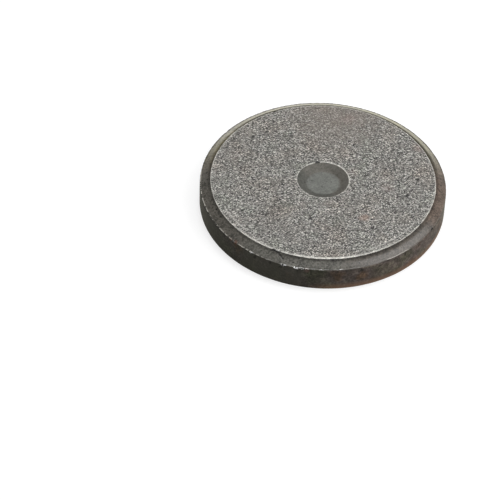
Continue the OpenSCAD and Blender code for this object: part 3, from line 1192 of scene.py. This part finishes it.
# a pore's radius and the end of its soft edge, as shares of the spacing
PORE_RADIUS, PORE_EDGE = 0.1, 0.17
pores = add(paint, "ShaderNodeTexVoronoi", {"Vector": place, "Scale": 1 / PORE_SPACING}, out="Distance")
pores = add(paint, "ShaderNodeMapRange",
            {"Value": pores, "From Min": PORE_RADIUS, "From Max": PORE_EDGE, "To Min": 0.85,
             "To Max": 0.0})
pores = add(paint, "ShaderNodeMath", {0: pores, 1: grain_share}, operation="MULTIPLY")
body = add(paint, "ShaderNodeMix", {0: pores, "A": body, "B": linear("#1f1d1b")}, out=2,
           data_type="RGBA")
print("pores", round(PORE_SPACING / MM, 1), "mm apart")

# %% [markdown]
# ## Painted shade and glints
# The foot of the step under the face is painted as a thin dark line round it: the shade that
# the step throws. It lies thickest on the near side. The sharp edges above it, and one side of
# the dimple's lip, catch the light, and fine bright lines paint those glints. An edge mask
# draws each of them.

# %% As-fired ferrite: painted shade and glints
STEP_SHADE_SIDE = (-105, -50)
STEP_SHADE_LINE = 0.45 * MM
GLINT_LINE = 0.05 * MM
LIP_GLINT = 0.1 * MM
step_shade = add(paint, "ShaderNodeMath",
             {0: edge_mask(paint, place, profile, EDGES["step foot"], STEP_SHADE_LINE, ragged=0.15 * MM),
              1: side_mask(paint, direction, *STEP_SHADE_SIDE, outside=0.48, within=0.68)},
             operation="MULTIPLY")
# the dark line is painted shade at the foot of the step
body = add(paint, "ShaderNodeMix", {0: step_shade, "A": body, "B": linear("#1d1b19")}, out=2,
           data_type="RGBA")
lip = add(paint, "ShaderNodeMath",
          {0: edge_mask(paint, place, profile, EDGES["lip"], LIP_GLINT, ragged=0.1 * MM),
           1: side_mask(paint, direction, *LIP_LIT_SIDE)}, operation="MULTIPLY")
glints = add(paint, "ShaderNodeMath",
             {0: edge_mask(paint, place, profile, EDGES["face"], GLINT_LINE, ragged=0.1 * MM), 1: lip},
             operation="MAXIMUM")
# the pale lines are painted glints
body = add(paint, "ShaderNodeMix", {0: glints, "A": body, "B": linear("#e6e4dd")}, out=2,
           data_type="RGBA")
print("a sludge line of", round(STEP_SHADE_LINE / MM, 2), "mm round the face")

# %% [markdown]
# ## The rubbed rim and its painted highlight
# The outer edge of the land knocks against other magnets and is worn, and it catches the
# light. Two stretches of it are painted pale, partly as wear and partly as a painted
# highlight, and the rest shows only a trace of that.

# %% As-fired ferrite: the rubbed rim and its highlight
RIM_WEAR_AND_GLINT_SIDES = [(-57, -45), (-185, -120)]
RIM_GLINT_LEAST = 0.08
RIM_GLINT_LINE = 0.26 * MM
rim_wear_and_glint_sides = add(paint, "ShaderNodeMath",
                   {i: side_mask(paint, direction, *side, outside=RIM_GLINT_LEAST)
                    for i, side in enumerate(RIM_WEAR_AND_GLINT_SIDES)}, operation="MAXIMUM")
rim = add(paint, "ShaderNodeMath",
          {0: edge_mask(paint, place, profile, EDGES["rim"], RIM_GLINT_LINE, ragged=0.1 * MM),
           1: rim_wear_and_glint_sides}, operation="MULTIPLY")
# pale wear and a painted highlight along the land's outer edge
body = add(paint, "ShaderNodeMix", {0: rim, "A": body, "B": linear("#dedad0")}, out=2,
           data_type="RGBA")
print("the rim is rubbed pale at", RIM_WEAR_AND_GLINT_SIDES, "degrees")

# %% [markdown]
# ## Old dirt and painted shade
# Nothing rubbed the far side clean. Old dirt lies there as a dark line along the outer edge of
# the land. Another dark band along the foot of the step is painted shade in the step's corner,
# and the pale bevel between them is painted sheen. The inner band has a crisp outline, so its
# mask is cut to a narrow part of its fade.

# %% As-fired ferrite: old dirt and painted shade
FAR_SIDE = (15, 162)
FAR_STEP_SHADE_SIDE = (15, 135)
DIRT_RIM_LINE = 0.4 * MM
STEP_SHADE_REACH = 1.15 * MM
# the part of its fade that the inner line keeps
CRISP_START, CRISP_END = 0.35, 0.65
far_side = side_mask(paint, direction, *FAR_SIDE)
far_rim = add(paint, "ShaderNodeMath",
              {0: edge_mask(paint, place, profile, EDGES["rim"], DIRT_RIM_LINE, ragged=0.1 * MM),
               1: far_side}, operation="MULTIPLY")
far_step_shade = edge_mask(paint, place, profile, EDGES["step foot"], STEP_SHADE_REACH, ragged=0.1 * MM)
far_step_shade = add(paint, "ShaderNodeMapRange",
               {"Value": far_step_shade, "From Min": CRISP_START, "From Max": CRISP_END})
far_step_shade = add(paint, "ShaderNodeMath",
               {0: far_step_shade, 1: side_mask(paint, direction, *FAR_STEP_SHADE_SIDE, within=0.75)},
               operation="MULTIPLY")
# one dark colour for the old dirt on the rim and the painted shade at the step's foot
dirt_and_shade = linear("#2b281f")
for mask in (far_step_shade, far_rim):
    body = add(paint, "ShaderNodeMix", {0: mask, "A": body, "B": dirt_and_shade}, out=2, data_type="RGBA")
print("old dirt from", FAR_SIDE[0], "to", FAR_SIDE[1], "degrees")

# %% [markdown]
# ## Rust, and the flakes on top
# Three spots of rust sit on the rim. They lie across the line between the fired skin and
# the wall, so their list serves both finishes. The flakes and pits come last, because they
# broke through everything else.

# %% As-fired ferrite: rust and flakes
RUST_EDGE = 0.5 * MM
# [x, y, z, reach, strength, colour], the lengths in mm
RUST_SPOTS = [
    [-12.6, -14.1, 3.9, 0.6, 0.6, "#74503e"], [-13.3, -13.5, 3.8, 0.4, 0.5, "#74503e"],
    [-1.6, -19, 3.7, 0.7, 0.4, "#6a4a48"],
]
body = stained(paint, place, body, RUST_SPOTS, RUST_EDGE)
body = flaked(paint, place, body, "#1f1d1b")
print(len(RUST_SPOTS), "rust spots, in", len(paint.nodes), "nodes so far")

# %% [markdown]
# ## The satin
# A fired skin shines in two ways: softly from the powder grain, and more sharply from a thin
# glassy film over it. One roughness can't give both, so the film is a coat, which the
# Principled node lays over its base. The base's own index of refraction is low, 1.3, because
# the coat carries the shine. The film is thin next to the ground edge, where the wheel dulled
# it, it is thickest on the far side, and the dimple has none.

# %% As-fired ferrite: the surface
FINE_GRAIN = 0.25 * MM
DULLED_REACH = 1.25 * MM
DULL = 0.6
SATIN = 0.32
# share of the film that is left away from the far side
FILM_LEAST = 0.42
# the film is whole and gone at these strengths of the dulling
FILM_WHOLE, FILM_GONE = 0.3, 0.65
inner = edge_mask(paint, place, profile, EDGES["face"], DULLED_REACH, ragged=0.2 * MM)
roughness = add(paint, "ShaderNodeMapRange", {"Value": inner, "To Min": SATIN, "To Max": DULL})
roughness = add(paint, "ShaderNodeMix", {"Factor": in_dimple, "A": roughness, "B": DULL},
                data_type="FLOAT")
film = add(paint, "ShaderNodeMapRange",
           {"Value": inner, "From Min": FILM_WHOLE, "From Max": FILM_GONE, "To Min": 1.0,
            "To Max": 0.0})
film_side = add(paint, "ShaderNodeMapRange", {"Value": far_side, "To Min": FILM_LEAST, "To Max": 1.0})
film = add(paint, "ShaderNodeMath", {0: film, 1: film_side}, operation="MULTIPLY")
bare = add(paint, "ShaderNodeMath", {0: in_dimple, 1: far_rim}, operation="MAXIMUM")
film = add(paint, "ShaderNodeMix", {"Factor": bare, "A": film, "B": 0.0}, data_type="FLOAT")
fine = add(paint, "ShaderNodeTexNoise", {"Vector": place, "Scale": 1 / FINE_GRAIN, "Detail": 2.0})
bump = add(paint, "ShaderNodeBump", {"Height": fine, "Strength": 0.5, "Distance": 0.03 * MM})
skin = add(paint, "ShaderNodeBsdfPrincipled",
           {"Base Color": body, "Roughness": roughness, "IOR": 1.3, "Normal": bump,
            "Coat Weight": film, "Coat Roughness": 0.2, "Coat IOR": 1.75})
close_finish(paint, skin)
print(fired_ferrite.name, "has", len(paint.nodes), "nodes")

# %% [markdown]
# ## Finish three: die-rubbed ferrite
# The wall slid along the die as the blank was pushed out. That leaves it darker and duller
# than the bevel, with smears. One half of the wall is painted nearly black, as painted shade,
# and the half that the light falls on a lighter warm brown, as painted light. One ramp with a
# tint couldn't give both, because their contrast differs too, so each half has its own ramp on
# the same smears.

# %% Die-rubbed ferrite: the halves
rubbed_ferrite, paint = new_finish("die_rubbed_ferrite")
place, profile, direction = places(paint)

SMEAR = 0.3 * MM
BLOT = 1.1 * MM
LIT_BROWN_WAY = (0.94, -0.34, 0.0)
smears = add(paint, "ShaderNodeTexNoise", {"Vector": place, "Scale": 1 / SMEAR, "Detail": 2.0})
blots = add(paint, "ShaderNodeTexNoise", {"Vector": place, "Scale": 1 / BLOT, "Detail": 2.0})
marks = add(paint, "ShaderNodeMix", {"Factor": 0.5, "A": smears, "B": blots}, data_type="FLOAT")
shaded_half = add(paint, "ShaderNodeValToRGB", {"Fac": marks}, stops=[
    (0.36, "#1f1d18"), (0.5, "#383630"), (0.64, "#55534a")])
lit_brown_half = add(paint, "ShaderNodeValToRGB", {"Fac": marks}, stops=[
    (0.36, "#3e3832"), (0.5, "#5b534b"), (0.64, "#7f756a")])
# the half that faces this way gets the painted light, the other half the painted shade
facing = add(paint, "ShaderNodeVectorMath", {0: direction, 1: LIT_BROWN_WAY}, out="Value",
             operation="DOT_PRODUCT")
brown = add(paint, "ShaderNodeMapRange", {"Value": facing, "From Min": 0.1, "From Max": 0.8},
            interpolation_type="SMOOTHSTEP")
body = add(paint, "ShaderNodeMix", {0: brown, "A": shaded_half, "B": lit_brown_half}, out=2,
           data_type="RGBA")
brownest = math.degrees(math.atan2(LIT_BROWN_WAY[1], LIT_BROWN_WAY[0]))
print("the wall is brownest towards", round(brownest), "degrees")

# %% [markdown]
# ## Slow drift, painted shade and an even stretch
# Slow patches on the wall drift between brown, green-grey and violet-grey, so a third ramp
# tints it by a broad noise. One stretch is evenly grey, and another, on the left, is painted
# near black as shade. Side masks lay those two over the rest.

# %% Die-rubbed ferrite: drift and painted shade
DRIFT = 3.5 * MM
# [from, to, cover, colour]: the even stretch and the stretch of painted shade
WALL_GREY_AND_SHADE = [[-126, -98, 0.5, "#4e4c45"], [-230, -143, 0.72, "#141210"]]
drift = add(paint, "ShaderNodeTexNoise", {"Vector": place, "Scale": 1 / DRIFT, "Detail": 2.0})
tint = add(paint, "ShaderNodeValToRGB", {"Fac": drift}, stops=[
    (0.32, "#eefae8"), (0.45, "#ffffff"), (0.55, "#f8f2ff"), (0.68, "#ffe3d0")])
body = add(paint, "ShaderNodeMix", {0: 1.0, "A": body, "B": tint}, out=2, data_type="RGBA",
           blend_type="MULTIPLY")
for start, end, cover, colour in WALL_GREY_AND_SHADE:
    body = add(paint, "ShaderNodeMix",
               {0: side_mask(paint, direction, start, end, within=cover), "A": body,
                "B": linear(colour)}, out=2, data_type="RGBA")
print("patches of", round(DRIFT / MM, 1), "mm, and", len(WALL_GREY_AND_SHADE), "stretches of their own")

# %% [markdown]
# ## The foot and the top edge
# The foot of the near side is painted a lighter rust brown: partly a brown stain, and partly
# painted light that the floor throws up on it. The top edge is painted a little paler, partly
# as wear and partly as a painted highlight. It shows the same rust, flakes and pits as the
# land above it.

# %% Die-rubbed ferrite: foot and edge
FOOT_STAIN_AND_BOUNCE_SIDE = (-86, -15)
FOOT_STAIN_AND_BOUNCE_COVER = 0.8
STAIN_LOW, STAIN_HIGH = 0.15 * MM, 1.3 * MM
TOP_EDGE_WEAR_AND_GLINT = 0.14 * MM
height = add(paint, "ShaderNodeSeparateXYZ", {0: place}, out="Z")
foot = add(paint, "ShaderNodeMapRange",
           {"Value": height, "From Min": STAIN_LOW, "From Max": STAIN_HIGH, "To Min": FOOT_STAIN_AND_BOUNCE_COVER,
            "To Max": 0.0})
foot = add(paint, "ShaderNodeMath", {0: foot, 1: side_mask(paint, direction, *FOOT_STAIN_AND_BOUNCE_SIDE)},
           operation="MULTIPLY")
# the lighter brown at the foot is stain and painted bounce light
body = add(paint, "ShaderNodeMix", {0: foot, "A": body, "B": linear("#967660")}, out=2,
           data_type="RGBA")
rim = edge_mask(paint, place, profile, EDGES["rim"], TOP_EDGE_WEAR_AND_GLINT, ragged=0.25 * MM, most=0.5)
# the paler top edge is wear and a painted highlight
body = add(paint, "ShaderNodeMix", {0: rim, "A": body, "B": linear("#8f8d86")}, out=2,
           data_type="RGBA")
body = stained(paint, place, body, RUST_SPOTS, RUST_EDGE)
body = flaked(paint, place, body, "#1a1816")
print("kiln stain up to", round(STAIN_HIGH / MM, 1), "mm above the underside")

# %% [markdown]
# ## Closing the wall's finish
# The wall is duller than the bevel and has no film, and a low index of refraction keeps it
# dull at a slant too. Its smears are also slight hollows, so the same noise that colours
# them drives the bump.

# %% Die-rubbed ferrite: the surface
bump = add(paint, "ShaderNodeBump", {"Height": smears, "Strength": 0.3, "Distance": 0.04 * MM})
skin = add(paint, "ShaderNodeBsdfPrincipled",
           {"Base Color": body, "Roughness": 0.65, "IOR": 1.3, "Normal": bump})
close_finish(paint, skin)
print(rubbed_ferrite.name, "has", len(paint.nodes), "nodes")

# %% [markdown]
# ## Running the tree
# A modifier runs the tree on the mesh of ball centres. Its inputs are set by their
# identifiers before anything is evaluated, because two inputs may share a name and an
# identifier is always its own.

# %% Set the inputs
modifier = magnet.modifiers.new("turn_the_disc", "NODES")
modifier.node_group = tree
for name, size in SIZES.items():
    modifier[identifiers[name]] = float(size)
for name, finish in zip(FINISHES, (ground_ferrite, fired_ferrite, rubbed_ferrite)):
    modifier[identifiers[name]] = finish
print(len(SIZES), "sizes and", len(FINISHES), "finishes are set")

# %% [markdown]
# ## A plain mesh
# The result is taken out as a plain mesh, which is what the rest of the model's life needs:
# renders, files, and a physics engine. The modifier then goes, because its work is done. The
# new mesh's first material slot is the empty one of the ball mesh, so that slot goes too.

# %% Make the mesh
evaluated = magnet.evaluated_get(bpy.context.evaluated_depsgraph_get())
skin_mesh = bpy.data.meshes.new_from_object(evaluated)
magnet.modifiers.clear()
magnet.data = skin_mesh
skin_mesh.name = "magnet_skin"
skin_mesh.materials.pop(index=0)
skin_mesh.calc_loop_triangles()
print(len(skin_mesh.loop_triangles), "triangles in", len(skin_mesh.materials), "finishes")

# %% [markdown]
# ## Floor
# The magnet lies on a large white card. One face is enough for it. It reaches so far that its
# own edge never shows.

# %% Floor
FLOOR_HALF = 0.6
floor_mesh = bpy.data.meshes.new("floor")
floor_mesh.from_pydata([(-FLOOR_HALF, -FLOOR_HALF, 0), (FLOOR_HALF, -FLOOR_HALF, 0),
                        (FLOOR_HALF, FLOOR_HALF, 0), (-FLOOR_HALF, FLOOR_HALF, 0)], [], [(0, 1, 2, 3)])
floor = bpy.data.objects.new("floor", floor_mesh)
bpy.context.scene.collection.objects.link(floor)
print("a floor of", 2 * FLOOR_HALF, "m square")

# %% [markdown]
# ## White card
# The card is lit like any other pale thing, so it takes the magnet's shadow. A card that is
# pale enough to look white would throw too much light on the wall, so this one is grey, and
# a little glow, seen only by the camera and in reflections, lifts its lit part to white. In
# reflections the glow is a touch warm, as old card is.

# %% White card
GLOW = 0.75
card, paint = new_finish("white_card")
ray = paint.nodes.new("ShaderNodeLightPath").outputs
seen = add(paint, "ShaderNodeMath", {0: ray["Is Camera Ray"], 1: ray["Is Glossy Ray"]}, operation="ADD")
seen = add(paint, "ShaderNodeMath", {0: seen, 1: ray["Is Transmission Ray"]}, operation="ADD")
glow = add(paint, "ShaderNodeMath", {0: seen, 1: GLOW}, operation="MULTIPLY")
glow_colour = add(paint, "ShaderNodeMix",
                  {0: ray["Is Camera Ray"], "A": linear("#fffce6"), "B": linear("#ffffff")}, out=2,
                  data_type="RGBA")
skin = add(paint, "ShaderNodeBsdfPrincipled",
           {"Base Color": linear("#a0a0a0"), "Roughness": 0.9, "IOR": 1.3,
            "Emission Color": glow_colour, "Emission Strength": glow})
close_finish(paint, skin)
floor_mesh.materials.append(card)
print(card.name, "glows at", GLOW)

# %% [markdown]
# ## World
# The world does two jobs. For plain light it is a dim, even grey, which fills the shadows.
# For the camera and in reflections it is the backdrop: white at the horizon and darker
# overhead, like a studio with a dark ceiling. The bevel mirrors it, and that, with the sheen
# painted on the far side, makes its far side pale and its near side dark. The bevel sees
# mainly how bright the room is at each height, so one ramp over the height is enough.

# %% World
FILL_LIGHT = 0.2
CEILING = 0.3
# the backdrop darkens between these heights, where 0 is the horizon and 1 is straight up
HORIZON_END, CEILING_START = 0.03, 0.28
world = bpy.data.worlds.new("studio")
bpy.context.scene.world = world
world.use_nodes = True
sky = world.node_tree
sky.nodes.clear()
ray = sky.nodes.new("ShaderNodeLightPath").outputs
seen = add(sky, "ShaderNodeMath", {0: ray["Is Camera Ray"], 1: ray["Is Glossy Ray"]}, operation="ADD")
seen = add(sky, "ShaderNodeMath", {0: seen, 1: ray["Is Transmission Ray"]}, operation="ADD")
way = add(sky, "ShaderNodeTexCoord", out="Generated")
rise = add(sky, "ShaderNodeSeparateXYZ", {0: way}, out="Z")
backdrop = add(sky, "ShaderNodeMapRange",
               {"Value": rise, "From Min": HORIZON_END, "From Max": CEILING_START,
                "To Min": 1.0, "To Max": CEILING})
strength = add(sky, "ShaderNodeMix", {"Factor": seen, "A": FILL_LIGHT, "B": backdrop}, data_type="FLOAT")
background = add(sky, "ShaderNodeBackground", {"Color": (1, 1, 1, 1), "Strength": strength})
sky.links.new(background, sky.nodes.new("ShaderNodeOutputWorld").inputs["Surface"])
print("the world lights at", FILL_LIGHT, "and shows white at the horizon")

# %% [markdown]
# ## Lamps
# Soft light from a large, near source keeps the grain gentle, where a sun lamp would make it
# glitter. The key stands to the right and high, a weaker fill stands lower on the near side,
# and a small one overhead lights the flat. Each is given as a level: with the world they come
# to about 1 on an upward face, so a colour there renders about as it is written.

# %% Lamps
def softbox(name, azimuth, elevation, distance, size, level):
    """A round softbox aimed at the magnet. At level 1 it alone renders a facing colour as written."""
    light = bpy.data.lights.new(name, "AREA")
    light.shape = "DISK"
    light.size = size
    light.energy = level * (math.pi * distance) ** 2
    holder = bpy.data.objects.new(name, light)
    along, up = math.radians(azimuth), math.radians(elevation)
    way = Vector((math.cos(up) * math.cos(along), math.cos(up) * math.sin(along), math.sin(up)))
    holder.location = way * distance
    holder.rotation_mode = "QUATERNION"
    holder.rotation_quaternion = way.to_track_quat("Z", "Y")
    bpy.context.scene.collection.objects.link(holder)
    return level * math.sin(up)


# [name, azimuth, elevation, distance in m, size in m, level]
LAMPS = [["key", 7, 56, 0.6, 0.5, 0.45], ["fill", -40, 27, 0.6, 0.4, 0.2],
         ["overhead", 90, 81, 0.6, 0.2, 0.4]]
on_top = [softbox(*lamp) for lamp in LAMPS]
print("an upward face gets", round(sum(on_top) + FILL_LIGHT, 2), "of a plain level")

# %% [markdown]
# ## Flag
# A studio keeps light off with a black card, called a flag. One stands upright on the left,
# out of the camera's sight, so the bevel there has something dark to mirror.

# %% Flag
FLAG_X, FLAG_NEAR, FLAG_FAR = -0.2, -0.2, 0.2
FLAG_LOW, FLAG_HIGH = 0.001, 0.24
flag_mesh = bpy.data.meshes.new("flag")
flag_mesh.from_pydata([(FLAG_X, FLAG_NEAR, FLAG_LOW), (FLAG_X, FLAG_FAR, FLAG_LOW),
                       (FLAG_X, FLAG_FAR, FLAG_HIGH), (FLAG_X, FLAG_NEAR, FLAG_HIGH)],
                      [], [(0, 1, 2, 3)])
flag = bpy.data.objects.new("flag", flag_mesh)
bpy.context.scene.collection.objects.link(flag)
black_card, paint = new_finish("black_card")
skin = add(paint, "ShaderNodeBsdfPrincipled", {"Base Color": linear("#101010"), "Roughness": 0.9})
close_finish(paint, skin)
flag_mesh.materials.append(black_card)
flag.visible_camera = False
print("a flag", FLAG_FAR - FLAG_NEAR, "m wide and", FLAG_HIGH, "m high")

# %% [markdown]
# ## Camera
# A long lens from about 43 degrees above shows the face as an oval and still shows the
# wall. A shorter lens, nearer, would make the near side look too large. The places are given
# in disc radii, so the view stays the same if the disc's size changes. The camera aims left
# of the magnet and a little before it, which sets the magnet in the upper right.

# %% Camera
LENS, FILM_WIDTH = 162.82, 36
STAND = (0, -13.4862, 12.6639)
AIM = (-0.5489, -0.6107, 0)
ROLL = 1.8138
lens = bpy.data.cameras.new("camera")
lens.lens = LENS
lens.sensor_width = FILM_WIDTH
lens.clip_start = 0.01
camera = bpy.data.objects.new("camera", lens)
bpy.context.scene.collection.objects.link(camera)
bpy.context.scene.camera = camera
stand = Vector(STAND) * disc_radius
aim = Vector(AIM) * disc_radius
level_look = (aim - stand).to_track_quat("-Z", "Y")
camera.location = stand
camera.rotation_mode = "QUATERNION"
camera.rotation_quaternion = level_look @ Quaternion((0, 0, 1), math.radians(ROLL))
bpy.context.scene.view_settings.view_transform = "Standard"
print("the camera is", round(stand.length, 3), "m from the magnet")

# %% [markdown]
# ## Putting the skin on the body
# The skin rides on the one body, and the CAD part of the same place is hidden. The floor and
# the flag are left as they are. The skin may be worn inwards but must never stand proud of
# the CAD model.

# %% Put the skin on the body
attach(magnet, "root")
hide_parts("magnet")
